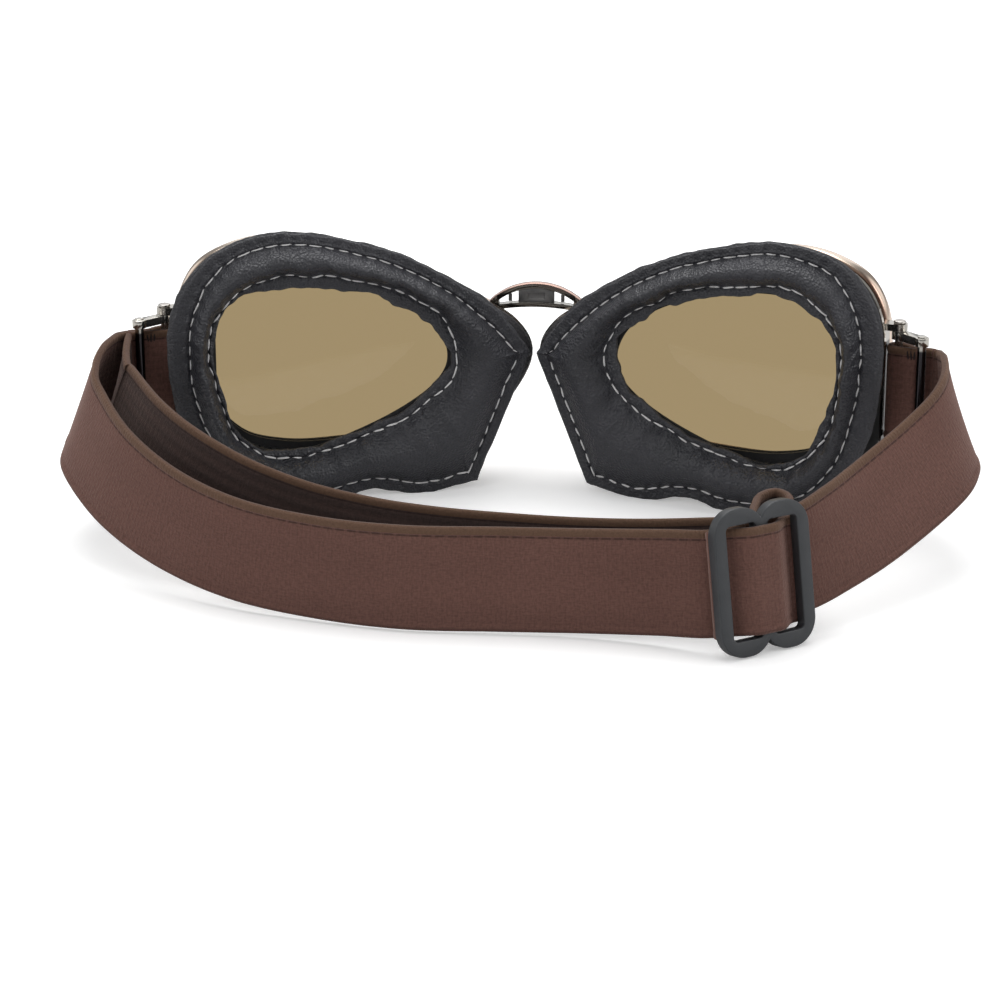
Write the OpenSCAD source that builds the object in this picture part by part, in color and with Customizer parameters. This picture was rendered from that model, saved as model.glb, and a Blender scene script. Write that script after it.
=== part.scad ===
// Riding goggles with two teardrop eyecups, padded leather face rings, a hinged
// slotted bridge and an elastic head strap with a three-bar slider.
// X is left to right, -Y is the wearer's side, +Z is up, and the goggles stand on Z = 0.

/* [Placing] */
// How far the pads' face plane lies behind the middle of the whole object
face_y = 53.6; // [40:0.1:70]
// Wrap angle of each eyecup about the vertical
wrap = 18.5; // [14:0.5:22]
// Half the gap between the two pads' nose points
nose_gap = 0.3; // [0.2:0.05:1]
// Depth of the flat that the pads stand on
foot_cut = 0.5; // [0.3:0.1:0.8]

/* [Face pads] */
// Thickness of the leather
leather = 1.2; // [0.8:0.1:1.4]
// Height of the padded crown above the seams
crown = 5; // [3:0.5:7]
// Width of the raw edge outside the outer seam
seam_edge = 3.4; // [2.5:0.1:4.5]
// Extra width of that edge at the temple, where the side wall turns back
seam_temple = 2.6; // [0:0.2:3.5]
// Width of the raw edge inside the inner seam
seam_inner = 3.2; // [2:0.1:4]
// Thickness of the lining board behind the foam
lining = 0.8; // [0.5:0.1:1.2]
// Depth of the leather side wall between the lining and the cup
side_depth = 7.2; // [6:0.2:10]

/* [Eyecups] */
// Wall thickness of the moulded cup
cup_wall = 1.2; // [0.8:0.1:1.6]
// Depth of the moulded cup from its rear flange to its lens seat
cup_depth = 7.2; // [7:0.1:8]
// Width of the rear clamp rail
rail_w = 2; // [1.7:0.1:2.2]
// Thickness of the rear clamp rail
rail_t = 1.4; // [1:0.1:1.5]
// Thickness of the lens
lens_t = 2; // [1.5:0.1:2.5]
// Thickness of the rubber lens gasket
gasket_t = 1; // [0.6:0.1:1.4]
// Width of the front bezel seen from the front
bezel_w = 4.4; // [3.6:0.1:4.8]
// Side of each square air vent
vent = 2; // [1.4:0.1:2.2]
// Distance from vent to vent along the wall
vent_pitch = 3.6; // [3.2:0.1:4.2]
// Number of vents in each row
vent_count = 7; // [3:1:8]

/* [Bridge] */
// Distance of each hinge post from the middle
post_x = 11.8; // [11.4:0.1:12.4]
// Radius of the hinge posts
post_r = 0.9; // [0.7:0.05:1]
// Wall of the bosses that turn on the posts
boss_wall = 0.75; // [0.6:0.05:0.8]
// Front to back depth of the bridge
bridge_d = 2.6; // [2.2:0.1:2.8]
// Height of the arch's feet above the floor
bridge_z = 48.9; // [48.8:0.1:50]
// Half span of the bridge arch at its feet
bridge_half = 13.3; // [13:0.1:14]
// Height of the arch above its feet
bridge_rise = 5.7; // [5.4:0.1:6.5]
// Thickness of the arch
arch_t = 1.4; // [1.1:0.1:1.6]
// Height of the lower rail
bridge_rail_h = 1.3; // [1:0.1:1.5]
// Radius of the lower rail's underside
bridge_rail_r = 60; // [50:1:90]
// Width of the centre block
block_w = 9.8; // [8:0.2:10.6]

/* [Head strap] */
// Width of the elastic webbing
strap_w = 26; // [24:0.5:26.5]
// Thickness of the elastic webbing
strap_t = 1.5; // [1.2:0.1:1.6]

/* [Strap lugs] */
// Radius of the pin that the strap end is folded round
pin_r = 1.1; // [0.9:0.05:1.3]
// Distance from the pin to the outer bar
lug_reach = 8.7; // [8:0.1:9.5]
// Radius of the outer bar
lug_bar_r = 1.2; // [0.9:0.05:1.3]
// Thickness of the two arms
lug_arm_t = 2.2; // [1.8:0.1:2.4]
// Thickness of the ears that hold the pin
ear_t = 1.8; // [1.4:0.1:2.2]

/* [Slider] */
// Overall width along the strap
slider_w = 27; // [26:0.5:29]
// Overall height
slider_h = 35.5; // [34.5:0.5:37]
// Height of the two windows
slider_win = 27.5; // [27:0.25:28]
// Width of each upright bar
slider_bar = 3.4; // [3:0.1:4]
// Thickness of the moulding
slider_t = 3; // [2.4:0.1:3.2]
// Turn of the slider about the vertical
slider_yaw = 36; // [34:0.5:38]
// Lean of the slider, with its foot outwards
slider_lean = 10; // [8:0.5:12]

/* [Hidden] */
$fn = 48;
// Seating gap between pieces of one assembly
seat = 0.2;
// Steps between the points of an outline, on metal and on soft pieces
fine = 6;
soft = 3;

// Outlines in an eyecup's own frame: u runs from nose to temple and v up. Each point is
// [u, v, roundness], and a roundness of 0 makes a corner.
pad_outline = [
    [0, 38, 0], [12.5, 52.2, 1], [33, 66.2, 1], [52, 73, 1], [70, 75.5, 1],
    [87, 71.5, 1], [97, 60, 1], [99, 43, 1], [95, 22, 1], [83, 6.5, 1],
    [70, 1.2, 1], [57, 0, 1], [44, 2.2, 1], [30, 0, 1], [15, 2.8, 0]
];
opening_outline = [
    [23.5, 38, 1], [26.5, 46.5, 1], [36, 53.6, 1], [50, 58.4, 1], [66, 60.4, 1],
    [78.5, 57.8, 1], [85.2, 50.5, 1], [85.8, 41, 1], [83.4, 29, 1], [78.5, 19.5, 1],
    [70, 15.2, 1], [60, 16, 1], [48, 19.8, 1], [36, 25.2, 1], [27, 31.4, 1]
];
bezel_outline = [
    [-2.4, 35, 1], [1.6, 44.4, 1], [13, 52, 1], [38, 64.8, 1], [66, 70.6, 1],
    [84, 66.8, 1], [92.4, 57.4, 1], [94.3, 43, 1], [90.8, 26, 1], [80, 13, 1],
    [66, 8.4, 1], [50, 8, 1], [34, 9.6, 1], [18, 13.6, 1], [4, 23.4, 1]
];

// Depths along an eyecup's axis, from the pad's seam plane towards the front
cover_n = 0.9;
lining_n = cover_n + leather + seat;
side_n = lining_n + lining + seat;
cup_n = side_n + side_depth - 1.1;
side_end_n = cup_n + 1.1;
rail_n = side_end_n + 0.3;
seat_n = cup_n + cup_depth;
gasket_n = seat_n + seat;
lens_n = gasket_n + gasket_t + seat;
bezel_n = gasket_n;
bezel_lip_n = lens_n + lens_t + seat;
flange_t = 1;
// Insets from the bezel's outline
wall_in = 1.7;
flange_in = 1;
seat_in = bezel_w + 0.6;

// Strap height at the lugs and the places of pin and outer bar
strap_z = 35;
pin_u = 97.6;
pin_n = (rail_n + rail_t + bezel_n) / 2;
loop_r = pin_r + 0.35 + strap_t / 2;
lug_in = strap_w / 2 + 1.4;
ear_in = lug_in + lug_arm_t + seat;
bar_drop = loop_r + lug_bar_r + strap_t / 2 + 2 * seat;
bar_u = pin_u + sqrt(pow(lug_reach, 2) - pow(bar_drop, 2));
bar_n = pin_n - bar_drop;

// Bridge places: its posts stand midway between the rear rail and the bezel
post_u = (post_x - nose_gap - pin_n * sin(wrap)) / cos(wrap);
post_y = pin_n * cos(wrap) - post_u * sin(wrap);
boss_r = post_r + boss_wall;
boss_z = bridge_z - 0.6;
arch_r = (pow(bridge_half, 2) + pow(bridge_rise, 2)) / (2 * bridge_rise);
arch_z = bridge_z + foot_cut + bridge_rise - arch_r;
under_z = bridge_z + foot_cut - 0.9 - bridge_rail_r;

// Slider place
slider_at = [63, -118,
    slider_h / 2 * cos(slider_lean) + slider_t / 2 * sin(slider_lean) + foot_cut];

// The strap's route: x, y, height of its middle and lean of its lower edge outwards
outer_route = [
    [-106.9, -21.35, 35, 1], [-107.8, -22.15, 35, 1], [-108.9, -23.5, 35.1, 3],
    [-110.8, -27.4, 35.9, 9],
    [-113.9, -36, 36, 20], [-114.3, -46, 34, 21],
    [-111.5, -57.5, 30.8, 22], [-100, -75, 24.6, 16], [-84, -90, 19.2, 9],
    [-65, -102, 15.8, 4], [-43.5, -109.5, 14.3, 2], [-22, -113.6, 14, 4], [0, -113.6, 14.2, 5],
    [21, -114.6, 14.8, 4], [39, -117.4, 16, 6], [51.8, -120, 17, 9], [60, -114, 17.6, 10],
    [72.2, -105.1, 18.8, 12], [81, -95.5, 21, 18], [90.5, -83, 24, 27], [103.5, -65.5, 29.8, 31],
    [110, -54, 33.6, 27], [112.2, -43, 36.2, 21], [110.8, -30, 36, 10],
    [108.9, -23.5, 35.1, 3], [107.8, -22.15, 35, 1], [106.9, -21.35, 35, 1]
];
inner_route = [
    [-106.2, -23.6, 35, 1], [-107, -28, 34.9, 8], [-107.2, -37, 34.2, 16],
    [-106, -45.2, 33.4, 20], [-104.2, -48.6, 33, 21], [-94, -66.5, 30, 22],
    [-82, -79.5, 26.4, 19], [-67, -88.2, 21.6, 15], [-50.8, -92.7, 17.4, 11],
    [-33.5, -96.2, 14.9, 9], [-16.6, -100, 14.1, 9], [0.5, -103, 14, 10],
    [17.6, -105, 14, 11], [35, -105.4, 14.2, 12], [54.5, -103.6, 14.6, 14]
];
loop_route = [
    [56.4, -113.9, 17.2, 10], [59.4, -111, 17.2, 10], [61.2, -106, 17.2, 7],
    [61.6, -98, 17.2, 4], [62.4, -91, 17.2, 2], [65.8, -86.8, 17.2, 0], [69.2, -90, 17.2, -2],
    [69.8, -96.5, 17.2, -3], [68, -102.2, 17.2, -3], [65.4, -106.2, 17.2, -4]
];

// Place of the strap pins, and the place of them for which the routes are drawn
pin_at = [nose_gap + pin_u * cos(wrap) + pin_n * sin(wrap), pin_n * cos(wrap) - pin_u * sin(wrap)];
drawn_pin_at = [97.457, -17.218];

// A vector of length 1
function unit(v) = v / norm(v);
// Point between a and b with the slopes p and q
function hermite(a, b, p, q, t) =
    a * (2 * t * t * t - 3 * t * t + 1) + b * (3 * t * t - 2 * t * t * t)
    + p * (t * t * t - 2 * t * t + t) + q * (t * t * t - t * t);
// Closed smooth outline through its control points, with n steps to each
function outline(c, n) = [
    for (i = [0 : len(c) - 1], j = [0 : n - 1]) let (
        k = len(c), a = c[i], b = c[(i + 1) % k], z = c[(i + k - 1) % k], d = c[(i + 2) % k],
        h = hermite(a, b, a[2] * (b - z) / 2, b[2] * (d - a) / 2, j / n)
    ) [h[0], h[1]]
];
// The outline moved inwards by a distance that is a number or a list
function inset(c, d) = [
    for (i = [0 : len(c) - 1]) let (
        k = len(c), t = unit(c[(i + 1) % k] - c[(i + k - 1) % k])
    ) c[i] + (is_list(d) ? d[i] : d) * [t[1], -t[0]]
];
// The outline lifted to depth n, as points of the eyecup's frame
function at_depth(c, n) = [for (i = [0 : len(c) - 1]) [c[i][0], is_list(n) ? n[i] : n, c[i][1]]];
// Share of the way from one outline to another
function between(a, b, f) = [for (i = [0 : len(a) - 1]) a[i] + (b[i] - a[i]) * f];
// Open smooth route through its points, with n steps to each
function route(c, n) = concat([
    for (i = [0 : len(c) - 2], j = [0 : n - 1]) let (
        k = len(c) - 1, a = c[i], b = c[i + 1], z = c[max(i - 1, 0)], d = c[min(i + 2, k)]
    ) hermite(a, b, (b - z) / 2, (d - a) / 2, j / n)
], [c[len(c) - 1]]);

// A point of a strap's route, which keeps to the lugs at the temples when they move
function at_lugs(p) = let (
    share = max(0, min(1, (abs(p[0]) - 72) / 28)), d = pin_at - drawn_pin_at
) p + [sign(p[0]) * d[0], d[1], 0, 0] * share * share * (3 - 2 * share);

// Closed skin through loops of equal length, joined last to first
module ring_skin(loops) {
    k = len(loops);
    m = len(loops[0]);
    polyhedron(
        [for (l = loops, p = l) p],
        [for (j = [0 : k - 1], i = [0 : m - 1], s = [0, 1]) let (
            a = j * m + i, b = j * m + (i + 1) % m,
            c = ((j + 1) % k) * m + i, d = ((j + 1) % k) * m + (i + 1) % m
        ) s == 0 ? [a, b, d] : [a, d, c]],
        convexity = 8
    );
}
// Flat webbing along a route, with square edges
module webbing(points, n) {
    path = [for (p = route(points, n)) [p[0], p[1], p[2]]];
    lean = [for (p = route(points, n)) p[3]];
    last = len(path) - 1;
    rings = [for (i = [0 : last]) let (
        t = unit(path[min(i + 1, last)] - path[max(i - 1, 0)]),
        side = unit(cross(t, [0, 0, 1])),
        rise = cross(side, t),
        up = cos(lean[i]) * rise - sin(lean[i]) * side,
        out = cos(lean[i]) * side + sin(lean[i]) * rise,
        w = strap_w / 2, h = strap_t / 2
    ) [path[i] + w * up + h * out, path[i] + w * up - h * out,
       path[i] - w * up - h * out, path[i] - w * up + h * out]];
    skin = [for (i = [0 : last - 1], j = [0 : 3], s = [0, 1]) let (
        a = 4 * i + j, b = 4 * i + (j + 1) % 4, c = a + 4, d = b + 4
    ) s == 0 ? [a, b, d] : [a, d, c]];
    polyhedron(
        [for (r = rings, p = r) p],
        concat(skin, [[0, 2, 1], [0, 3, 2]],
            [[4 * last, 4 * last + 1, 4 * last + 2], [4 * last, 4 * last + 2, 4 * last + 3]]),
        convexity = 8
    );
}
// A strip of even thickness along a flat path
module strip(path, t) {
    last = len(path) - 1;
    sides = [for (i = [0 : last]) let (
        d = unit(path[min(i + 1, last)] - path[max(i - 1, 0)])
    ) [-d[1], d[0]] * t / 2];
    polygon(concat(
        [for (i = [0 : last]) path[i] + sides[i]],
        [for (i = [last : -1 : 0]) path[i] - sides[i]]
    ));
}

// The whole object's place
module whole() {
    translate([0, face_y, -foot_cut]) children();
}
// Cuts the flat that the object stands on
module on_the_flat() {
    difference() {
        children();
        translate([-150, -100, -20]) cube([300, 200, 20]);
    }
}
// The eyecup's frame on one side: 1 is right and -1 is left
module eyecup_frame(side) {
    whole()
        mirror([side < 0 ? 1 : 0, 0, 0])
            translate([nose_gap, 0, 0])
                rotate([0, 0, -wrap])
                    children();
}
// A flat plate of an eyecup outline between two depths
module plate(c, n, t) {
    translate([0, n + t, 0])
        rotate([90, 0, 0])
            linear_extrude(t)
                polygon(c);
}
// A flat ring between two insets of an outline
module ring(c, out, in, n, t) {
    translate([0, n + t, 0])
        rotate([90, 0, 0])
            linear_extrude(t)
                difference() {
                    polygon(inset(c, out));
                    polygon(inset(c, in));
                }
}
// An upright cylinder in an eyecup's frame, from v to v + h
module upright(u, n, v, r, h) {
    translate([u, n, v]) cylinder(r = r, h = h);
}

// Moulded eyecup with a rear flange, a lens seat, air vents and the strap bracket
module eyecup(side) {
    c = outline(bezel_outline, fine);
    color([0.13, 0.13, 0.14])
        eyecup_frame(side)
            difference() {
                union() {
                    ring(c, wall_in, wall_in + cup_wall, cup_n, cup_depth);
                    ring(c, flange_in, wall_in + 0.5, cup_n, flange_t);
                    ring(c, wall_in + 0.5, seat_in, seat_n - flange_t, flange_t);
                    strap_bracket();
                }
                plate(inset(c, wall_in + cup_wall), cup_n - 1, cup_depth + 1 - flange_t);
                for (v = [strap_z - ear_in - ear_t - 1, strap_z + ear_in - 1])
                    upright(pin_u, pin_n, v, pin_r + 0.02, ear_t + 2);
                vent_row(c, 10.1);
                vent_row(c, 3.6);
            }
}
// Row of square holes through the wall, about one control point of the outline
module vent_row(c, middle) {
    k = len(c);
    step = vent_pitch / norm(c[floor(middle * fine) + 1] - c[floor(middle * fine)]);
    for (j = [0 : vent_count - 1]) {
        s = middle * fine + (j - (vent_count - 1) / 2) * step;
        i = floor(s);
        p = c[i] + (c[(i + 1) % k] - c[i]) * (s - i);
        t = c[(i + 1) % k] - c[i];
        translate([p[0], (cup_n + flange_t + seat_n - flange_t) / 2 + 1.1, p[1]])
            rotate([0, -atan2(t[1], t[0]), 0])
                cube([vent, vent, 8], center = true);
    }
}
// Bracket on the temple side, with an ear above and below the strap
module strap_bracket() {
    d = bezel_n - rail_n - rail_t - 2 * seat;
    n = rail_n + rail_t + seat;
    low = strap_z - ear_in - ear_t;
    tall = 2 * (ear_in + ear_t);
    difference() {
        union() {
            translate([84, n, low]) cube([pin_u - 84, d, tall]);
            upright(pin_u, pin_n, low, d / 2, tall);
        }
        translate([pin_u - loop_r - strap_t / 2 - 0.25, n - 1, strap_z - ear_in])
            cube([20, d + 2, 2 * ear_in]);
    }
}
// Rounded front bezel that holds the lens
module bezel(side) {
    c = outline(bezel_outline, fine);
    lip = bezel_lip_n;
    profile = [
        [1.9, bezel_n], [1.9, lip], [bezel_w, lip], [bezel_w - 0.3, lip + 1.5],
        [bezel_w - 1.4, lip + 2.2], [1.6, lip + 2.2], [0.5, lip + 1.4], [0, lip],
        [0, bezel_n + 1.6], [0.2, bezel_n + 0.6], [1, bezel_n]
    ];
    color([0.83, 0.74, 0.69])
        eyecup_frame(side)
            ring_skin([for (p = profile) at_depth(inset(c, p[0]), p[1])]);
}
// Tinted flat lens
module lens(side) {
    color([0.64, 0.57, 0.43, 0.6])
        eyecup_frame(side)
            plate(inset(outline(bezel_outline, fine), 2.2), lens_n, lens_t);
}
// Rubber ring between the lens and its seat
module lens_gasket(side) {
    color([0.07, 0.07, 0.07])
        eyecup_frame(side)
            ring(outline(bezel_outline, fine), 2.3, seat_in + 0.2, gasket_n, gasket_t);
}
// Bright rail that clamps the leather against the cup's flange
module rear_rail(side) {
    color([0.8, 0.78, 0.75])
        eyecup_frame(side)
            ring(outline(bezel_outline, fine), wall_in - seat - rail_w, wall_in - seat,
                rail_n, rail_t);
}

// How far the outer seam lies inside the pad's edge: more at the temple
function seam_inset(c) = [
    for (p = c) seam_edge + seam_temple * pow(max(0, min(1, (p[0] - 62) / 34)), 2)
];
// Loops across the pad, from its outer edge to its opening
function pad_loop(f, n) = let (
    a = outline(pad_outline, soft), b = outline(opening_outline, soft),
    s = inset(a, seam_inset(a)), r = inset(b, -seam_inner)
) f < 0 ? at_depth(between(a, s, f + 1), n) : f > 1 ? at_depth(between(r, b, f - 1), n)
    : at_depth(between(s, r, f), n);
// Leather face with its crown between two seams
module pad_cover(side) {
    n = cover_n;
    face = [
        [-1, n - 0.2], [-0.2, n - 0.5], [0, n], [0.14, n - 0.5 * crown], [0.32, n - 0.88 * crown],
        [0.52, n - crown], [0.72, n - 0.82 * crown], [0.88, n - 0.44 * crown], [1, n],
        [1.3, n - 0.4], [2, n - 0.1]
    ];
    back = [
        [2, n + leather], [1, n + leather], [0.86, n - 0.4 * crown + leather],
        [0.7, n - 0.74 * crown + leather], [0.52, n - 0.9 * crown + leather],
        [0.33, n - 0.78 * crown + leather], [0.15, n - 0.42 * crown + leather],
        [0, n + leather], [-1, n + leather]
    ];
    color([0.25, 0.25, 0.27])
        on_the_flat()
            eyecup_frame(side)
                ring_skin([for (p = concat(face, back)) pad_loop(p[0], p[1])]);
}
// Foam ring under the crown
module pad_foam(side) {
    n = cover_n + leather + 0.2;
    profile = [
        [0.1, n - 0.1], [0.17, n - 0.36 * crown], [0.34, n - 0.7 * crown],
        [0.52, n - 0.82 * crown], [0.69, n - 0.66 * crown], [0.84, n - 0.3 * crown],
        [0.92, n - 0.1]
    ];
    color([0.55, 0.53, 0.5])
        eyecup_frame(side)
            ring_skin([for (p = profile) pad_loop(p[0], p[1])]);
}
// Lining board behind the foam
module pad_lining(side) {
    a = outline(pad_outline, soft);
    b = outline(opening_outline, soft);
    color([0.1, 0.1, 0.1])
        on_the_flat()
            eyecup_frame(side)
                translate([0, lining_n + lining, 0])
                    rotate([90, 0, 0])
                        linear_extrude(lining)
                            difference() {
                                polygon(inset(a, 0.6));
                                polygon(inset(b, -0.3));
                            }
}
// Leather side wall from the outer seam to the clamp rail
module pad_side(side) {
    a = outline(pad_outline, soft);
    s = seam_inset(a);
    c = outline(bezel_outline, soft);
    color([0.16, 0.16, 0.17])
        eyecup_frame(side)
            ring_skin([
                at_depth(inset(a, [for (d = s) d + leather]), side_n),
                at_depth(inset(c, flange_in - seat), cup_n - 0.5),
                at_depth(inset(c, flange_in - seat), side_end_n),
                at_depth(inset(c, flange_in - seat - leather), side_end_n),
                at_depth(inset(c, flange_in - seat - leather), cup_n - 0.5),
                at_depth(inset(a, s), side_n)
            ]);
}

// Post on the cup's nose corner that the bridge turns on
module bridge_post(side) {
    c = outline(bezel_outline, fine);
    color([0.5, 0.48, 0.46])
        eyecup_frame(side)
            difference() {
                union() {
                    upright(post_u, pin_n, boss_z - 6, post_r + 0.5, 6 - seat);
                    upright(post_u, pin_n, boss_z - 1, post_r, 2.3);
                }
                plate(inset(c, wall_in - 0.1), cup_n - 1, cup_depth + 2);
            }
}
// The bridge's flat shapes, seen from the front: arch, underside and the space between
module arch_side(r) {
    translate([0, arch_z]) circle(r = r, $fn = 96);
}
module under_side(r) {
    translate([0, under_z]) circle(r = r, $fn = 180);
}
module bridge_window() {
    difference() {
        arch_side(arch_r - arch_t);
        under_side(bridge_rail_r + bridge_rail_h);
    }
}
module bridge_plate(d) {
    translate([0, post_y + d / 2, 0])
        rotate([90, 0, 0])
            linear_extrude(d)
                children();
}
// Arched bridge with a lower rail and a boss at each end that takes the cup's post
module bridge_frame() {
    window = post_x - boss_r + 0.2;
    color([0.6, 0.57, 0.53])
        whole()
            difference() {
                union() {
                    bridge_plate(bridge_d)
                        difference() {
                            intersection() {
                                arch_side(arch_r);
                                translate([-post_x, boss_z - 2]) square([2 * post_x, 20]);
                            }
                            under_side(bridge_rail_r);
                            intersection() {
                                bridge_window();
                                translate([0, boss_z + 4]) oblong(2 * window, 8, 1.6);
                            }
                        }
                    intersection() {
                        for (x = [-post_x, post_x])
                            translate([x, post_y, boss_z]) cylinder(r = boss_r, h = 5);
                        bridge_plate(8) arch_side(arch_r);
                    }
                }
                for (x = [-post_x, post_x])
                    translate([x, post_y, boss_z - 5]) {
                        cylinder(r = post_r + 0.05, h = 6.5);
                        cylinder(r = boss_r + 0.3, h = 5);
                    }
            }
}
// Centre block set into the bridge, with a shallow panel on its rear face
module bridge_block() {
    d = bridge_d - 0.6;
    color([0.38, 0.38, 0.38])
        whole()
            difference() {
                bridge_plate(d)
                    intersection() {
                        difference() {
                            arch_side(arch_r - arch_t - 0.05);
                            under_side(bridge_rail_r + bridge_rail_h + 0.05);
                        }
                        translate([-block_w / 2, boss_z]) square([block_w, 20]);
                    }
                translate([0, post_y - d / 2, bridge_z + 2.6])
                    cube([block_w * 0.45, 0.6, 1.7], center = true);
            }
}
// Two slim ribs between the block and the bosses
module bridge_ribs() {
    rib_x = block_w / 2 + 2.3;
    top = arch_z + sqrt(pow(arch_r - arch_t, 2) - pow(rib_x + 0.5, 2)) - 0.05;
    foot = under_z + bridge_rail_r + bridge_rail_h + 0.05;
    color([0.25, 0.25, 0.25])
        whole()
            for (x = [-rib_x, rib_x])
                translate([x, post_y, foot]) cylinder(r = 0.5, h = top - foot);
}

// Pin through the bracket's ears, headed at both ends
module strap_pin(side) {
    end = ear_in + ear_t + 0.05;
    color([0.6, 0.58, 0.56])
        eyecup_frame(side) {
            upright(pin_u, pin_n, strap_z - end, pin_r, 2 * end);
            upright(pin_u, pin_n, strap_z + end, pin_r + 0.5, 0.7);
            upright(pin_u, pin_n, strap_z - end - 0.7, pin_r + 0.5, 0.7);
        }
}
// Swinging lug that keeps the strap against its pin, with its outer bar riveted at the ends
module strap_lug(side) {
    turn = atan2(-bar_drop, bar_u - pin_u);
    rivet = lug_in + lug_arm_t + 0.4;
    color([0.3, 0.29, 0.28])
        eyecup_frame(side)
            translate([pin_u, pin_n, strap_z])
                rotate([0, 0, turn]) {
                    for (v = [lug_in, -lug_in - lug_arm_t])
                        translate([0, 0, v])
                            linear_extrude(lug_arm_t)
                                difference() {
                                    union() {
                                        circle(r = pin_r + 0.9);
                                        translate([lug_reach, 0]) circle(r = lug_bar_r + 0.6);
                                        translate([0, -1.4]) square([lug_reach, 2.8]);
                                    }
                                    circle(r = pin_r + 0.05);
                                }
                    translate([lug_reach, 0, -rivet]) cylinder(r = lug_bar_r, h = 2 * rivet);
                }
}
// Folded end of the webbing round the pin: sewn flap on the right, both layers on the left
module strap_end(side) {
    r = loop_r;
    fold = [for (a = [0 : 15 : 180]) [pin_u - r * sin(a), pin_n - r * cos(a)]];
    flap = [bar_u - 1.8, pin_n - r - 0.1];
    past_bar = [[bar_u + 2.3, pin_n - r - 0.6], [bar_u + 0.9, pin_n - r - 0.15]];
    inner = concat(side > 0 ? [flap] : past_bar, [[pin_u + 1.6, pin_n - r]]);
    outer = [
        [pin_u + 1.4, pin_n + r - 0.5], [pin_u + 3.2, pin_n + 0.55],
        [pin_u + 4.6, pin_n - 0.5], [bar_u + 1.6, pin_n - r + strap_t + 0.05],
        [bar_u + 2.4, pin_n - r + strap_t - 0.1]
    ];
    color([0.35, 0.26, 0.24])
        eyecup_frame(side)
            translate([0, 0, strap_z - strap_w / 2])
                linear_extrude(strap_w)
                    strip(concat(inner, fold, outer), strap_t);
}
// Outer layer of the strap, from the left lug round to the right lug
module strap_outer() {
    color([0.35, 0.26, 0.24])
        whole() webbing([for (p = outer_route) at_lugs(p)], 3);
}
// Inner layer, back from the left lug to the slider
module strap_inner() {
    color([0.27, 0.25, 0.26])
        whole() webbing([for (p = inner_route) at_lugs(p)], 3);
}

// The slider's frame: x along the strap, y outwards and z up
module slider_frame() {
    whole()
        translate(slider_at)
            rotate([0, 0, slider_yaw - 180])
                rotate([slider_lean, 0, 0])
                    children();
}
// A flat oblong with round corners
module oblong(w, h, r) {
    square([w - 2 * r, h], center = true);
    square([w, h - 2 * r], center = true);
    for (x = [-1, 1], y = [-1, 1])
        translate([x * (w / 2 - r), y * (h / 2 - r)]) circle(r = r);
}
// Three-bar slider with two round-cornered lobes
module slider() {
    lobe = slider_w / 2 + 1;
    win = (slider_w - 3 * slider_bar) / 2;
    color([0.29, 0.3, 0.31])
        slider_frame()
            translate([0, slider_t / 2, 0])
                rotate([90, 0, 0])
                    linear_extrude(slider_t)
                        difference() {
                            for (x = [-1, 1])
                                translate([x * (slider_w / 2 - lobe / 2), 0])
                                    oblong(lobe, slider_h, 6.6);
                            for (x = [-1, 1])
                                translate([x * (slider_bar + win) / 2, 0])
                                    oblong(win, slider_win, 1.2);
                        }
}
// The stretch of webbing that runs over the slider's centre bar
module slider_weave() {
    over = slider_t / 2 + seat + strap_t / 2;
    near = slider_bar / 2 + 0.6;
    far = slider_w / 2 - slider_bar - 0.6;
    half = concat(
        [[0, over]],
        [for (i = [0 : 8]) [near + (far - near) * i / 8, over * cos(180 * i / 8)]],
        [[slider_w / 2 - 0.6, -over]]
    );
    path = concat([for (i = [len(half) - 1 : -1 : 1]) [-half[i][0], half[i][1]]], half);
    color([0.35, 0.26, 0.24])
        slider_frame()
            translate([0, 0, -strap_w / 2])
                linear_extrude(strap_w)
                    strip(path, strap_t);
}
// Slack loop of the inner layer behind the slider
module slider_loop() {
    color([0.35, 0.26, 0.24])
        whole() webbing(loop_route, 3);
}

eyecup(-1);  // left_eyecup
bezel(-1);  // left_bezel
lens(-1);  // left_lens
lens_gasket(-1);  // left_lens_gasket
rear_rail(-1);  // left_rear_rail
pad_cover(-1);  // left_pad_cover
pad_foam(-1);  // left_pad_foam
pad_lining(-1);  // left_pad_lining
pad_side(-1);  // left_pad_side
bridge_post(-1);  // left_bridge_post
strap_pin(-1);  // left_strap_pin
strap_lug(-1);  // left_strap_lug
strap_end(-1);  // left_strap_end
eyecup(1);  // right_eyecup
bezel(1);  // right_bezel
lens(1);  // right_lens
lens_gasket(1);  // right_lens_gasket
rear_rail(1);  // right_rear_rail
pad_cover(1);  // right_pad_cover
pad_foam(1);  // right_pad_foam
pad_lining(1);  // right_pad_lining
pad_side(1);  // right_pad_side
bridge_post(1);  // right_bridge_post
strap_pin(1);  // right_strap_pin
strap_lug(1);  // right_strap_lug
strap_end(1);  // right_strap_end
bridge_frame();
bridge_block();
bridge_ribs();
strap_outer();
strap_inner();
slider();
slider_weave();
slider_loop();
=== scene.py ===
import math

import bmesh
import bpy
import numpy as np
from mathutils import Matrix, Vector, noise


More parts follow.
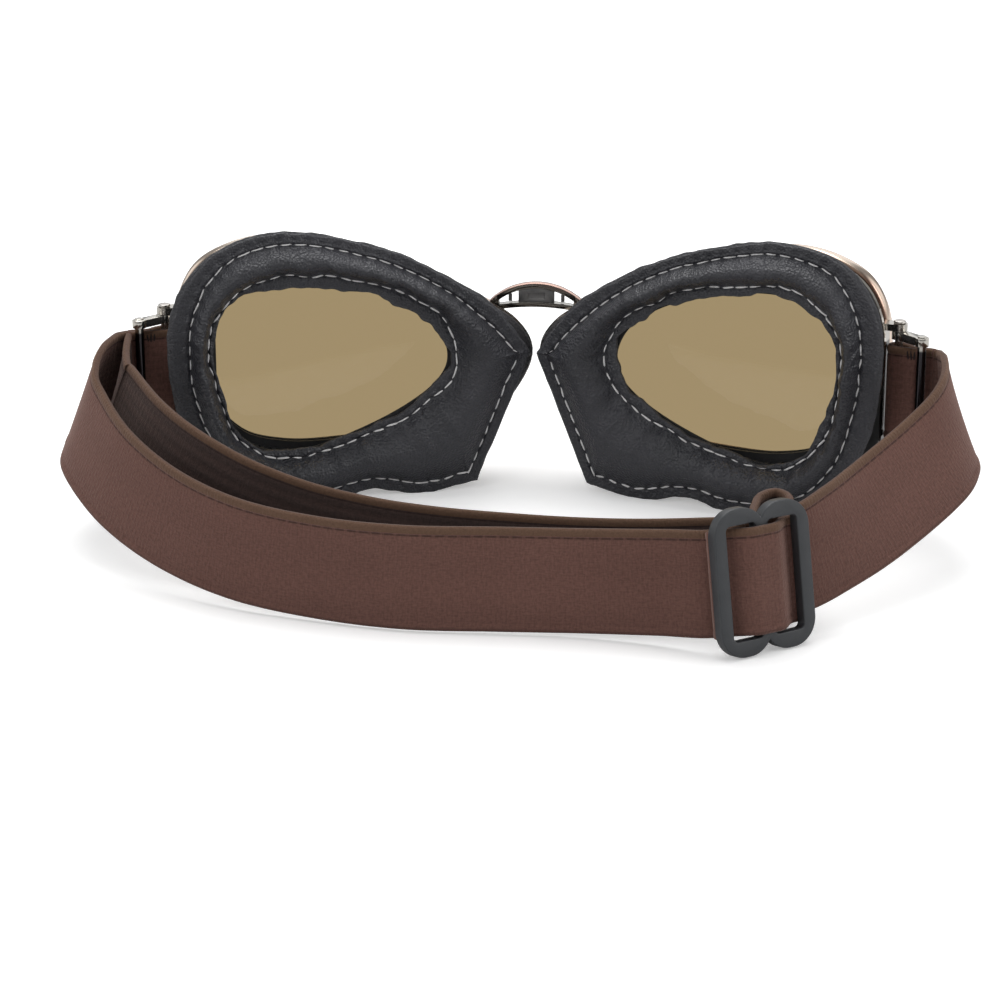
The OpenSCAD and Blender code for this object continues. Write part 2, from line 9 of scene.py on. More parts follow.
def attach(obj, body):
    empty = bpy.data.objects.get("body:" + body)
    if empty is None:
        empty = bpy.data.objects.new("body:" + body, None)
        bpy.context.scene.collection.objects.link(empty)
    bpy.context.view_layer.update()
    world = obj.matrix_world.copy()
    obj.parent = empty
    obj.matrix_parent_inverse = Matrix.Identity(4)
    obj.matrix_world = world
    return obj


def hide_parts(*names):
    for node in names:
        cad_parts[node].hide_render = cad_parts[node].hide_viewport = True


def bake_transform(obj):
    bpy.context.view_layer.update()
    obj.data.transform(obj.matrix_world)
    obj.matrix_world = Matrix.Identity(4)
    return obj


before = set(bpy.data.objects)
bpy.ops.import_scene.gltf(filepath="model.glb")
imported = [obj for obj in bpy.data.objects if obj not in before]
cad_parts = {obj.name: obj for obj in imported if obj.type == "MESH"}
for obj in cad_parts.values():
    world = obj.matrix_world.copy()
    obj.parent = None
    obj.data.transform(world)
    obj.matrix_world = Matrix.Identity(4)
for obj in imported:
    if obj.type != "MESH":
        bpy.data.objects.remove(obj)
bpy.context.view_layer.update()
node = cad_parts


# Studio. The goggles stand on a white table in soft light from above, with a fill from the
# camera's side. The table shows its shadow and goes to white away from it, and metal and
# lenses see the same white behind the goggles.
class Sock:
    """A value in a node tree. Arithmetic on it adds Math nodes."""

    def __init__(self, tree, out):
        self.tree, self.out = tree, out

    def math(self, operation, *values):
        return self.tree.node("ShaderNodeMath", {"operation": operation}, dict(enumerate(values)))

    def __add__(self, other):
        return self.math("ADD", self, other)

    def __sub__(self, other):
        return self.math("SUBTRACT", self, other)

    def __rsub__(self, other):
        return self.math("SUBTRACT", other, self)

    def __mul__(self, other):
        return self.math("MULTIPLY", self, other)

    def __truediv__(self, other):
        return self.math("DIVIDE", self, other)

    def __mod__(self, other):
        return self.math("FLOORED_MODULO", self, other)

    def __abs__(self):
        return self.math("ABSOLUTE", self)

    def __gt__(self, other):
        return self.math("GREATER_THAN", self, other)

    def wave(self):
        """Sine of a number of turns."""
        turns = self * math.tau
        return self.math("SINE", turns)

    def between(self, low, high):
        """0 below low, 1 above high and smooth in between."""
        values = {"Value": self, "From Min": low, "From Max": high}
        return self.tree.node("ShaderNodeMapRange", {"interpolation_type": "SMOOTHSTEP"}, values)

    __radd__, __rmul__ = __add__, __mul__


class Tree:
    """A node tree with one method for every node: its type, settings, then values and links."""

    def __init__(self, tree):
        self.tree = tree

    def node(self, kind, settings=None, values=None, out=0):
        made = self.tree.nodes.new(kind)
        for name, value in (settings or {}).items():
            setattr(made, name, value)
        for name, value in (values or {}).items():
            if isinstance(value, Sock):
                self.tree.links.new(value.out, made.inputs[name])
            else:
                made.inputs[name].default_value = value
        return Sock(self, made.outputs[out])


def shade(red, green, blue, dim=1.0):
    """A colour written as it shows on a screen, 0 to 255, as linear values."""
    parts = [c * dim / 255 for c in (red, green, blue)]
    return (*(c / 12.92 if c < 0.0404 else ((c + 0.055) / 1.055) ** 2.4 for c in parts), 1.0)


def ray_kinds(tree):
    """1 for a camera ray, for a ray through a lens and for a reflection, each by itself."""
    path = tree.node("ShaderNodeLightPath").out.node.outputs
    return [Sock(tree, path[f"Is {kind} Ray"]) for kind in ("Camera", "Transmission", "Glossy")]


ambient = 0.44  # the world's own light, where white is 1
table_reach, table_grey = 9, 0.78
shadow_from, white_from = 0.18, 0.6  # metres from the goggles
lamp_aim = Vector((0, 0, 0.03))
camera_aim, camera_reach = Vector((-0.0051, 0.0086, 0.0106)), 0.78
camera_turn, camera_rise = math.radians(5), math.radians(18.5)
lens_mm, sensor_mm = 107.96, 36
world = bpy.data.worlds.new("studio_air")
bpy.context.scene.world = world
world.use_nodes = True
air = Tree(world.node_tree)
air_shader = world.node_tree.nodes["Background"]
air_shader.inputs["Color"].default_value = (1, 1, 1, 1)
by_eye, by_lens, by_metal = ray_kinds(air)
look = air.node("ShaderNodeTexCoord", out="Generated")
look_x, look_y, look_z = (
    air.node("ShaderNodeSeparateXYZ", None, {0: look}, axis) for axis in (0, 1, 2))
# Plated metal mirrors a white room with a dark side, a dim horizon and two dark cards
dark_side = (1 - look_y.between(-0.75, -0.1)) * (1 - look_z.between(0.35, 0.8))
horizon = (1 - look_z.between(0.03, 0.2)) * look_y.between(0, 0.5)
cards = abs(look_x).between(0.3, 0.4) * (1 - abs(look_x).between(0.62, 0.72))
flag = (1 - 0.7 * dark_side) * (1 - 0.6 * horizon) * (1 - 0.75 * cards)
plain_look = by_eye.math("MAXIMUM", by_eye, by_lens)
world.node_tree.links.new(
    (ambient + plain_look * (1 - ambient) + by_metal * (1 - plain_look) * (flag - ambient)).out,
    air_shader.inputs["Strength"])

table_mesh = bpy.data.meshes.new("table")
table_mesh.from_pydata([(x * table_reach, y * table_reach, 0) for x, y in (
    (-1, -1), (1, -1), (1, 1), (-1, 1))], [], [(0, 1, 2, 3)])
table = bpy.data.objects.new("table", table_mesh)
bpy.context.collection.objects.link(table)
table_paint = bpy.data.materials.new("white_table")
table_paint.use_nodes = True
table_mesh.materials.append(table_paint)
top = Tree(table_paint.node_tree)
plain = top.node("ShaderNodeBsdfDiffuse", None, {"Color": (table_grey,) * 3 + (1,)})
by_eye, by_lens, by_metal = ray_kinds(top)
away = top.node("ShaderNodeVectorMath", {"operation": "LENGTH"}, {
    0: top.node("ShaderNodeTexCoord", out="Object")}, "Value").between(shadow_from, white_from)
shown = top.node("ShaderNodeAddShader", None, {
    0: top.node("ShaderNodeEmission", None, {
        "Color": (1, 1, 1, 1), "Strength": 0.31 + away * 0.55}),
    1: top.node("ShaderNodeBsdfDiffuse", None, {"Color": (0.9, 0.9, 0.9, 1)})})
bright = top.node("ShaderNodeEmission", None, {"Color": (1, 1, 1, 1), "Strength": 0.96})
surface = top.node("ShaderNodeMixShader", None, {0: by_eye, 1: plain, 2: shown})
surface = top.node("ShaderNodeMixShader", None, {0: by_lens, 1: surface, 2: bright})
table_paint.node_tree.links.new(
    surface.out, table_paint.node_tree.nodes["Material Output"].inputs["Surface"])

for name, place, size, power in (
    ("overhead_box", (-0.1, 0.42, 1.15), 1.0, 10.8),
    ("camera_fill", (-0.8, -1.0, 0.75), 0.8, 4.4),
    ("right_strip", (1.1, -0.3, 0.6), 0.6, 3.5),
):
    lamp = bpy.data.objects.new(name, bpy.data.lights.new(name, "AREA"))
    lamp.data.size, lamp.data.energy = size, power
    lamp.location = place
    lamp.rotation_euler = (lamp_aim - lamp.location).to_track_quat("-Z", "Y").to_euler()
    bpy.context.collection.objects.link(lamp)

camera = bpy.data.objects.new("camera", bpy.data.cameras.new("camera"))
camera.location = camera_aim + camera_reach * Vector((
    math.sin(camera_turn) * math.cos(camera_rise),
    -math.cos(camera_turn) * math.cos(camera_rise), math.sin(camera_rise)))
camera.rotation_euler = (camera_aim - camera.location).to_track_quat("-Z", "Y").to_euler()
camera.data.lens, camera.data.sensor_width = lens_mm, sensor_mm
bpy.context.collection.objects.link(camera)
bpy.context.scene.camera = camera
bpy.context.scene.view_settings.view_transform = "Standard"


# Eyecups. Each is one black moulding with a flange for the leather, a lens seat, two rows of
# square air vents and the strap's bracket at the temple. The bracket is plated, with painted
# shade between its ears, where the strap folds round the pin.
class Finish(Tree):
    """A material with one Principled shader. Even values go straight onto its sockets."""

    def __init__(self, name, **even):
        self.material = bpy.data.materials.new(name)
        self.material.use_nodes = True
        super().__init__(self.material.node_tree)
        self.shader = self.tree.nodes["Principled BSDF"]
        for socket, value in even.items():
            self.shader.inputs[socket.replace("_", " ")].default_value = value
        self.place = self.node("ShaderNodeTexCoord", out="Object")

    def link(self, socket, value):
        self.tree.links.new(value.out, self.shader.inputs[socket])

    def mix(self, share, one, other):
        return self.node("ShaderNodeMix", {"data_type": "RGBA"}, {0: share, 6: one, 7: other}, 2)

    def cloud(self, scale, detail=2.0, place=None):
        return self.node("ShaderNodeTexNoise", None, {
            "Vector": place or self.place, "Scale": scale, "Detail": detail})

    def cells(self, scale):
        return self.node("ShaderNodeTexVoronoi", None, {
            "Vector": self.place, "Scale": scale}, "Distance")

    def stretched(self, x, y, z, place=None):
        return self.node("ShaderNodeVectorMath", {"operation": "MULTIPLY"}, {
            0: place or self.place, 1: (x, y, z)})

    def part_of(self, vector, axis):
        return self.node("ShaderNodeSeparateXYZ", None, {0: vector}, axis)

    def relief(self, height, strength, depth):
        self.link("Normal", self.node("ShaderNodeBump", None, {
            "Height": height, "Strength": strength, "Distance": depth}))


def dress(name, finish):
    """Gives a carried-over CAD node its finish."""
    for slot in node[name].material_slots:
        slot.material = finish.material


bracket_x, bracket_z, painted_shade_half, plate_blur = 0.0931, 0.0345, 0.0135, 0.0003
shell = Finish("black_shell")
bracket = abs(shell.part_of(shell.place, "X")).between(
    bracket_x - plate_blur, bracket_x + plate_blur)
ears = abs(shell.part_of(shell.place, "Z") - bracket_z).between(
    painted_shade_half - plate_blur, painted_shade_half + plate_blur)
haze = shell.cloud(260, 3)
# The bracket shows bright plating on its ears; the dark colour between them is painted shade.
shell.link("Base Color", shell.mix(
    bracket, shell.mix(haze, shade(30, 30, 31), shade(47, 47, 48)),
    shell.mix(ears, shade(66, 62, 61), shade(186, 182, 175))))
shell.link("Metallic", bracket)
shell.link("Roughness", 0.42 + haze * 0.16 - bracket * 0.3)
shell.relief(shell.cloud(1900, 2), 0.18, 0.0001)
for side in ("left", "right"):
    dress(side + "_eyecup", shell)


# Lenses and gaskets. Flat polycarbonate with an amber smoke tint all through, laid in a black
# rubber ring and held in from the front by the bezel.
lens_tint = Finish("amber_smoke_lens", Base_Color=(0.382, 0.292, 0.160, 1), IOR=1.3,
                   Transmission_Weight=1.0)
lens_tint.link("Roughness", 0.004 + lens_tint.cloud(60, 2) * 0.006)
rubber = Finish("gasket_rubber")
rubber.link("Base Color", rubber.mix(rubber.cloud(500), shade(20, 20, 20), shade(36, 35, 34)))
rubber.link("Roughness", 0.62 + rubber.cloud(900) * 0.2)
rubber.relief(rubber.cloud(2500), 0.2, 0.0001)
for side in ("left", "right"):
    dress(side + "_lens", lens_tint)
    dress(side + "_lens_gasket", rubber)


# Bezels. A rolled ring, polished and plated in rose copper, turned over the lens from the
# front, with a painted dark reflection towards its rear edge and a painted cream highlight band.
# Sizes are millimetres in an eyecup's own frame: u to the temple, n forward, v up.
WRAP = math.radians(18.5)  # each eyecup's turn round the face
NOSE_GAP, FACE_Y, FOOT_CUT = 0.3, 53.6, 0.5  # how far the cups stand apart, forward and down
bezel_back, bezel_front, bezel_fineness = 16.8, 22.4, 3


def in_place(hand, flat, depth):
    """Points of an eyecup's outline at a depth, in metres; hand is 1 right and -1 left."""
    u, v = flat[..., 0], flat[..., 1]
    n = np.broadcast_to(depth, u.shape)
    x = u * math.cos(WRAP) + n * math.sin(WRAP) + NOSE_GAP
    y = n * math.cos(WRAP) - u * math.sin(WRAP) + FACE_Y
    return np.stack([hand * x, y, v - FOOT_CUT], -1) / 1000


def curve_through(a, b, slope_a, slope_b, steps):
    """Points of smooth spans from each a to its b, which leave and arrive at the slopes."""
    t = (np.arange(steps) / steps)[None, :, None]
    a, b, slope_a, slope_b = a[:, None], b[:, None], slope_a[:, None], slope_b[:, None]
    line = (a * (2 * t**3 - 3 * t**2 + 1) + b * (3 * t**2 - 2 * t**3)
            + slope_a * (t**3 - 2 * t**2 + t) + slope_b * (t**3 - t**2))
    return line.reshape(-1, a.shape[-1])


def smooth_loop(points, steps, corners=()):
    """Closed smooth line through its points, sharp at the corners."""
    p = np.array(points, float)
    slope = (np.roll(p, -1, 0) - np.roll(p, 1, 0)) / 2
    slope[list(corners)] = 0
    return curve_through(p, np.roll(p, -1, 0), slope, np.roll(slope, -1, 0), steps)


def inset(loop, distance):
    """A loop moved inwards by a distance, or by one for each of its points."""
    along = np.roll(loop, -1, 0) - np.roll(loop, 1, 0)
    along /= np.linalg.norm(along, axis=1)[:, None]
    return loop + np.reshape(distance, (-1, 1)) * np.stack([along[:, 1], -along[:, 0]], 1)


def new_piece(name, points, faces, finish, extra=()):
    """A smooth mesh object with its normals turned outwards."""
    mesh = bpy.data.meshes.new(name)
    mesh.from_pydata([tuple(p) for p in points], [], faces)
    for used in (finish, *extra):
        mesh.materials.append(used.material)
    work = bmesh.new()
    work.from_mesh(mesh)
    bmesh.ops.recalc_face_normals(work, faces=work.faces)
    work.to_mesh(mesh)
    work.free()
    mesh.shade_smooth()
    piece = bpy.data.objects.new(name, mesh)
    bpy.context.collection.objects.link(piece)
    return piece


def ramp(value, start, end):
    """0 at the start, 1 at the end and straight in between."""
    return np.clip((value - start) / (end - start), 0, 1)


def mark(piece, name, amount):
    """Stores one number for each point of a piece, which its finish reads."""
    piece.data.attributes.new(name, "FLOAT", "POINT").data.foreach_set(
        "value", np.asarray(amount, np.float32))


def skin_through(rows):
    """Faces of a closed skin through rows of equal length, joined last to first."""
    k, m = rows.shape[:2]
    at = np.arange(k * m).reshape(k, m)
    right, up = np.roll(at, -1, 1), np.roll(at, -1, 0)
    both = np.roll(up, -1, 1)
    return np.stack([at, right, both, up], -1).reshape(-1, 4).tolist()


copper = Finish("rose_copper_plate", Metallic=1.0)
streak = copper.cloud(40, 3, copper.stretched(1, 1, 3))
# From the rear edge forwards: painted dark reflection, then a painted cream highlight, then rose
# copper at the front, which is also smoother.
buffing_and_painted_shade = copper.node("ShaderNodeAttribute", {"attribute_name": "buffing_and_painted_shade"}, None, "Fac")
plate_and_painted_light = copper.mix(buffing_and_painted_shade.between(0.03, 0.24), shade(92, 80, 68), shade(243, 228, 211))
plate_and_painted_light = copper.mix(buffing_and_painted_shade.between(0.5, 0.95), plate_and_painted_light, shade(232, 192, 175))
copper.link("Base Color", copper.mix(
    streak.between(0.3, 0.75) * 0.3, plate_and_painted_light, shade(206, 150, 130)))
copper.link("Roughness", 0.2 - buffing_and_painted_shade * 0.11 + copper.cloud(380, 4) * 0.1)
copper.relief(copper.cloud(700, 2), 0.05, 0.00005)
bezel_points = [
    (-2.4, 35), (1.6, 44.4), (13, 52), (38, 64.8), (66, 70.6), (84, 66.8), (92.4, 57.4),
    (94.3, 43), (90.8, 26), (80, 13), (66, 8.4), (50, 8), (34, 9.6), (18, 13.6), (4, 23.4)]
bezel_loop = smooth_loop(bezel_points, 6)
bezel_profile = smooth_loop([
    (1.9, bezel_back), (1.9, 20.2), (4.4, 20.2), (4.32, 21.2), (3.75, 22.0), (2.8, 22.38),
    (1.8, 22.3), (0.85, 21.8), (0.2, 20.9), (0, 19.7), (0.05, 18.5), (0.35, 17.4),
    (1, bezel_back)], bezel_fineness, corners=(0, 1, 2, 3, 12))
for side, hand in (("left", -1), ("right", 1)):
    rows = np.array([in_place(hand, smooth_loop(inset(bezel_loop, d), bezel_fineness), n)
                     for d, n in bezel_profile])
    bezel = new_piece(side + "_bezel_ring", rows.reshape(-1, 3), skin_through(rows), copper)
    bezel.data.set_sharp_from_angle(angle=math.radians(50))
    forward = ramp(bezel_profile[:, 1], bezel_back, bezel_front)
    mark(bezel, "buffing_and_painted_shade", np.repeat(forward, rows.shape[1]))
    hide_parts(side + "_bezel")
    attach(bezel, side + "_cup")


# Rear rails. A thin bright ring that clamps the leather's cuff against the cup's flange.
# It is chromed and polished, a little duller in places.
chrome = Finish("bright_rail", Metallic=1.0)
chrome.link("Base Color", chrome.mix(chrome.cloud(300, 2), shade(206, 200, 192),
                                     shade(236, 230, 220)))
chrome.link("Roughness", 0.08 + chrome.cloud(900, 3) * 0.12)
for side in ("left", "right"):
    dress(side + "_rear_rail", chrome)


# Face pads. Black leather is drawn over a foam ring and sewn through a felted board along two
# seams, so it swells between them and puckers at each stitch. Its edges are cut raw.
pad_points = [
    (0, 38), (11.5, 53.2), (33, 66.4), (52, 73), (70, 75.5), (87, 71.5), (97, 60), (99, 43),
    (95, 22), (83, 6.5), (70, 1.2), (57, 0), (44, 2.2), (30, 0), (15, 2.8)]
opening_points = [
    (23.5, 38), (26.5, 46.5), (36, 53.6), (50, 58.4), (66, 60.4), (78.5, 57.8), (85.2, 50.5),
    (85.8, 41), (83.4, 29), (78.5, 19.5), (70, 15.2), (60, 16), (48, 19.8), (36, 25.2),
    (27, 31.4)]
pad_corners, coarse_steps, fine_steps, stitch_pitch = (0, 42), 3, 8, 3.9
hem_width, lip_width, least_lip = 3.4, 3.2, 1.5  # leather outside the two seams
foam_crown, skin_level, back_level = 5, 0.9, 2.1  # how far the roll swells, and its two faces
pucker, crease_half = 0.4, 1.5
# Creases that the thread draws into the leather below the nose: from, to and height
nose_folds = (((26, 34), (12, 22), 0.5), ((29, 29), (17, 13), 0.6), ((34, 25), (27, 9), 0.45))


def rumple(flat, length, seed):
    """Smooth noise from -1 to 1 over an outline, with bumps about this many millimetres long."""
    return np.array([noise.noise(Vector((u / length, v / length, seed))) for u, v in flat]) * 1.6


def around_spot(flat, spot, spread):
    """1 at a spot, fading away from it."""
    return np.exp(-((flat - spot) ** 2).sum(1) / spread)


def pad_lines(hand):
    """Raw edge, outer seam, inner seam and raw opening of one pad, flat, in millimetres."""
    edge, hole = np.array(pad_points, float), np.array(opening_points, float)
    if hand > 0:
        edge[:, 0] -= 1.7 * ramp(edge[:, 0], 76, 94)
        hole[:, 0] -= 1.5 * ramp(hole[:, 0], 66, 82)
    else:
        edge -= 1.1 * around_spot(edge, (92, 66), 160)[:, None]
    edge, hole = smooth_loop(edge, coarse_steps, corners=(0, 14)), smooth_loop(hole, coarse_steps)
    hem = (hem_width + 2.6 * ramp(edge[:, 0], 62, 96) ** 2
           + 1.3 * around_spot(edge, (12, 53), 110))
    lip = np.maximum(least_lip, lip_width - 1.6 * ramp(hole[:, 0], 70, 84)
                     - 1.2 * ramp(hole[:, 1], 26, 17))
    seam = inset(edge, hem + 0.2 * rumple(edge, 10, hand + 40.0))
    sewn = inset(hole, 0.8 * rumple(hole, 6.5, hand + 50.0) - lip)
    return edge, seam, sewn, hole, hem, lip


def pad_surface(hand):
    """Rows of points from the raw outer edge over the crown to the raw opening, and back."""
    seed = 3.7 * hand
    edge, seam, sewn, hole, hem, lip = pad_lines(hand)
    edge, seam = (smooth_loop(c, fine_steps, pad_corners) for c in (edge, seam))
    sewn, hole = (smooth_loop(c, fine_steps) for c in (sewn, hole))
    hem, lip = (np.repeat(c, fine_steps) for c in (hem, lip))
    width = np.linalg.norm(sewn - seam, axis=1)
    ragged_edge = 0.26 * rumple(edge, 8, seed) + 0.2 * rumple(edge, 2.2, seed + 5)
    ragged_layer = 0.3 * rumple(edge, 5, seed + 15) + 0.14 * rumple(edge, 1.7, seed + 16)
    ragged_hole = (1.15 * rumple(hole, 8, seed + 2) + 0.45 * rumple(hole, 2.6, seed + 9)
                   ) * np.sqrt(lip / lip_width)
    lip_wave = 0.5 * rumple(hole, 9, seed + 4)
    edge_wave = 0.4 * rumple(edge, 14, seed + 6)
    pull_out = rumple(seam, 2.6, seed + 1) * 0.6 + rumple(seam, 6, seed + 8) * 0.6
    pull_in = rumple(sewn, 3.1, seed + 3) * 0.9 + rumple(sewn, 7, seed + 7)

    def between_holes(line):
        """1 at the middle of each stitch along a seam and -1 at each needle hole."""
        step = np.linalg.norm(np.roll(line, -1, 0) - line, axis=1)
        return np.cos(math.tau * (np.cumsum(step) - step) / stitch_pitch)

    def beside_seam(distance):
        """1 where the thread pulls most, a millimetre from the seam."""
        return np.exp(-((distance - 1.0) / 0.8) ** 2)

    rise_out, rise_in = between_holes(seam), between_holes(sewn)
    crown_f = [0, .14, .32, .52, .72, .88, 1]
    crown_h = [0, .5, .88, 1, .82, .44, 0]
    swell = np.polynomial.polynomial.Polynomial.fit(crown_f, crown_h, 5)
    # Each row has its place f and its depth n. The raw edge is f = -1, the outer seam 0, the
    # inner seam 1 and the raw opening 2.
    hem_rows = [(-1, 1.2), (-0.93, 1.0), (-0.87, 0.97), (-0.82, 0.5), (-0.72, 0.4),
                (-0.52, 0.34), (-0.36, 0.44), (-0.25, 0.2), (-0.14, 0.2), (-0.05, 0.58)]
    lip_rows = [(1.07, 0.6), (1.22, 0.32), (1.45, 0.32), (1.7, 0.42), (1.88, 0.55), (2, 0.95)]
    crown_rows = [(f, skin_level) for f in np.linspace(0, 1, 21)]
    front = hem_rows + crown_rows + lip_rows
    back = [(2, 1.85), (1.8, back_level), (1.4, back_level), (1, back_level), (0.8, 1.0),
            (0.5, -0.4), (0.2, 1.0), (0, back_level), (-0.5, back_level), (-0.85, 2.05), (-1, 1.8)]
    rows = []
    for number, (f, n) in enumerate(front + back):
        in_front = number < len(front)
        if f < 0:
            flat = edge + (seam - edge) * (f + 1)
            out = (edge - seam) / np.linalg.norm(edge - seam, axis=1)[:, None]
            layer = ragged_layer * (0.88 > -f > 0.6) * in_front
            flat = flat + out * (ragged_edge * -f * (-f > 0.85) + layer)[:, None]
            flat = flat - out * max(0, -f - 0.8) * 0.6
            depth = n + edge_wave * -f - 0.3 * rise_out * beside_seam(-f * hem)
        elif f > 1:
            flat = sewn + (hole - sewn) * (f - 1)
            into = (hole - sewn) / np.linalg.norm(hole - sewn, axis=1)[:, None]
            flat = flat + into * (ragged_hole * (f - 1) - 0.35 * (f > 1.9))[:, None]
            depth = (n + lip_wave * (f - 1) + 0.15 * pull_in * (2 - f)
                     - 0.2 * rise_in * beside_seam((f - 1) * lip) * in_front)
        else:
            flat = seam + (sewn - seam) * f
            depth = np.full(len(flat), float(n))
        if in_front and 0 <= f <= 1:
            height = max(0.0, float(swell(f)))
            near_out = np.exp(-((f * width) / 3.4) ** 2) * (f > 0.02)
            near_in = np.exp(-(((1 - f) * width) / 4.2) ** 2) * (f < 0.98)
            soft = (0.5 * rumple(flat, 19, seed) + 0.22 * rumple(flat, 7.5, seed + 11)
                    ) * min(1, 3.4 * height)
            depth = (depth - foam_crown * height + soft + near_out * pull_out * 0.7
                     + near_in * pull_in)
            depth -= pucker * (rise_out * beside_seam(f * width)
                               + rise_in * beside_seam((1 - f) * width)) * (0.02 < f < 0.98)
            for start, end, tall in nose_folds:
                reach = np.linalg.norm(np.subtract(end, start))
                way = np.subtract(end, start) / reach
                run = (flat - start) @ way / reach
                off = (flat - start) @ np.array([-way[1], way[0]])
                depth -= tall * np.exp(-(off / crease_half) ** 2) * np.sin(
                    math.pi * np.clip(run, 0, 1)) * min(1, 3 * height)
        place = in_place(hand, flat, depth)
        place[:, 2] = np.maximum(place[:, 2], 0.0)
        rows.append(place)
    seams = len(hem_rows), len(hem_rows) + len(crown_rows) - 1
    return np.array(rows), [f for f, n in front + back], seams


def leather(name, top, worn, gloss):
    """Fine-grained leather; the raw attribute marks its cut edges, which are greyer and dull."""
    hide = Finish(name, Specular_IOR_Level=0.5)
    raw = hide.node("ShaderNodeAttribute", {"attribute_name": "raw"}, None, "Fac")
    grain, fold = hide.cells(1500), hide.cloud(300, 5)
    patch = hide.cloud(38, 3).between(0.35, 0.7)
    skin = hide.mix(patch, shade(*top), shade(*worn))
    skin = hide.mix(grain.between(0.0, 0.5) * 0.35, skin, shade(*worn, 1.25))
    hide.link("Base Color", hide.mix(
        raw * (0.55 + hide.cloud(1500, 2) * 0.5), skin, shade(76, 76, 79)))
    hide.link("Roughness", gloss + patch * 0.1 + grain * 0.12 + raw * 0.35)
    hide.relief(grain + fold * 0.4 + raw * hide.cloud(2200, 3) * 1.2, 0.8, 0.00036)
    return hide


pad_hide = leather("pad_leather_black", (37, 38, 42), (49, 49, 54), 0.3)
raw_from, raw_to = 0.72, 1.0  # share of the way from a seam to the cut edge
board_front, board_back, board_margin, board_lip, board_steps = 2.25, 3.0, 0.7, 0.6, 4
felt = Finish("lining_felt", Roughness=0.95)
felt.link("Base Color", felt.mix(felt.cloud(1400, 4), shade(22, 22, 23), shade(52, 52, 53)))
felt.relief(felt.cloud(2600, 3), 0.6, 0.0003)
seam_lines = {}
for side, hand in (("left", -1), ("right", 1)):
    rows, steps, seams = pad_surface(hand)
    pad = new_piece(side + "_face_pad", rows.reshape(-1, 3), skin_through(rows), pad_hide)
    nearness = ramp(abs(np.array(steps) - 0.5) - 0.5, raw_from, raw_to)
    mark(pad, "raw", np.repeat(nearness, rows.shape[1]))
    seam_lines[side] = rows[seams[0]], rows[seams[1]], hand
    rounder = pad.modifiers.new("rounder", "SUBSURF")
    rounder.levels = rounder.render_levels = 1
    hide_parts(side + "_pad_cover", side + "_pad_foam")
    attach(pad, side + "_cup")
    edge, _, _, hole, _, _ = pad_lines(hand)
    edge = smooth_loop(inset(edge, board_margin), board_steps, pad_corners)
    hole = smooth_loop(inset(hole, -board_lip), board_steps)
    board_rows = np.array([in_place(hand, loop, n) for loop, n in (
        (edge, board_front), (hole, board_front), (hole, board_back), (edge, board_back))])
    board_rows[..., 2] = np.maximum(board_rows[..., 2], 0.0)
    board = new_piece(side + "_felted_board", board_rows.reshape(-1, 3),
                      skin_through(board_rows), felt)
    board.data.set_sharp_from_angle(angle=math.radians(40))
    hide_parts(side + "_pad_lining")
    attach(board, side + "_cup")


# Stitching. One light grey thread runs in a lock stitch along each of a pad's two seams. Every
# stitch is a short bowed bar that dives into the leather at both ends.
thread = Finish("grey_thread", Roughness=0.75)
thread.link("Base Color", thread.mix(thread.cloud(1800), shade(208, 207, 208),
                                     shade(248, 247, 246)))


